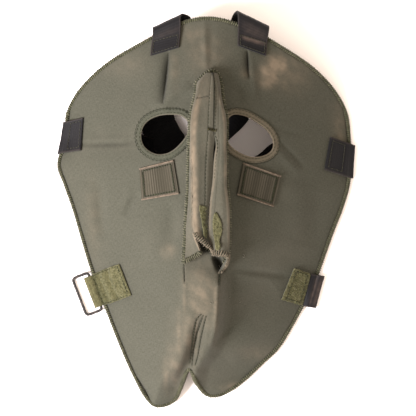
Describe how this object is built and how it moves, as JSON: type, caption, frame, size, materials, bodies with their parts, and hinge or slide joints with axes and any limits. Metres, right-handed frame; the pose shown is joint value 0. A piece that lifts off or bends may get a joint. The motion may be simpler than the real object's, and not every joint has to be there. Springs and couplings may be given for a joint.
{
  "type": "cold weather face mask",
  "caption": "Olive cloth face mask for extreme cold: arched face panel with eye holes, ridged nose cover with fold-back flaps, elastic head straps, wire strap loop and neck strap.",
  "frame": {"origin": "centre of the mask's footprint, on the surface that it lies on, face up", "axes": "+X to the viewer's right, +Y from the chin to the forehead, +Z out of the face"},
  "size_m": [0.2338, 0.305, 0.0737],
  "materials": {
    "olive_cloth": "dull ripstop weave, faded on edges and ridges",
    "lining_cloth": "soft brushed lining",
    "olive_thread": "twisted serging thread",
    "black_elastic": "ribbed woven elastic",
    "lime_tape": "fuzzy loop tape",
    "brown_tape": "ribbed fastener tape",
    "dark_wire": "blackened wire, worn bright in places"
  },
  "bodies": {
    "root": {"outer_shell": "olive_cloth", "lining": "lining_cloth", "edge_overlock": "olive_thread", "left_eye_facing": "olive_cloth", "right_eye_facing": "olive_cloth", "nose_cover": "olive_cloth", "nose_cover_overlock": "olive_thread", "nose_opening_binding": "olive_thread", "flap_bartack": "olive_thread", "left_cheek_patch": "brown_tape", "right_cheek_patch": "brown_tape", "left_top_strap": "black_elastic", "right_top_strap": "black_elastic", "left_side_strap": "black_elastic", "right_side_strap": "black_elastic", "rear_junction": "black_elastic", "left_lower_tab": "lime_tape", "right_lower_tape": "lime_tape", "right_lower_tab": "black_elastic"},
    "left_flap": {"left_flap": "olive_cloth", "left_flap_hook_tape": "lime_tape"},
    "right_flap": {"right_flap": "olive_cloth", "right_flap_hook_tape": "lime_tape"},
    "strap_loop": {"strap_loop": "dark_wire"},
    "neck_strap": {"neck_strap": "black_elastic", "neck_strap_hook": "lime_tape"}
  },
  "joints": [
    {"name": "left_flap_fold", "type": "hinge", "parent": "root", "child": "left_flap", "pos_m": [0.0016, 0.057, 0.07304], "axis": [-0.143, -0.9896, -0.0139], "range_deg": [0, 165]},
    {"name": "right_flap_fold", "type": "hinge", "parent": "root", "child": "right_flap", "pos_m": [0.0072, 0.057, 0.07363], "axis": [-0.0839, 0.9961, 0.0278], "range_deg": [0, 165]},
    {"name": "loop_swivel", "type": "hinge", "parent": "root", "child": "strap_loop", "pos_m": [-0.0867, -0.06427, 0.003], "axis": [-0.3609, 0.9326, 0], "range_deg": [-60, 125]},
    {"name": "neck_strap_swing", "type": "hinge", "parent": "root", "child": "neck_strap", "pos_m": [0.0728, -0.0618, 0.0006], "axis": [0.293, 0.9561, 0], "range_deg": [-110, 0]}
  ]
}
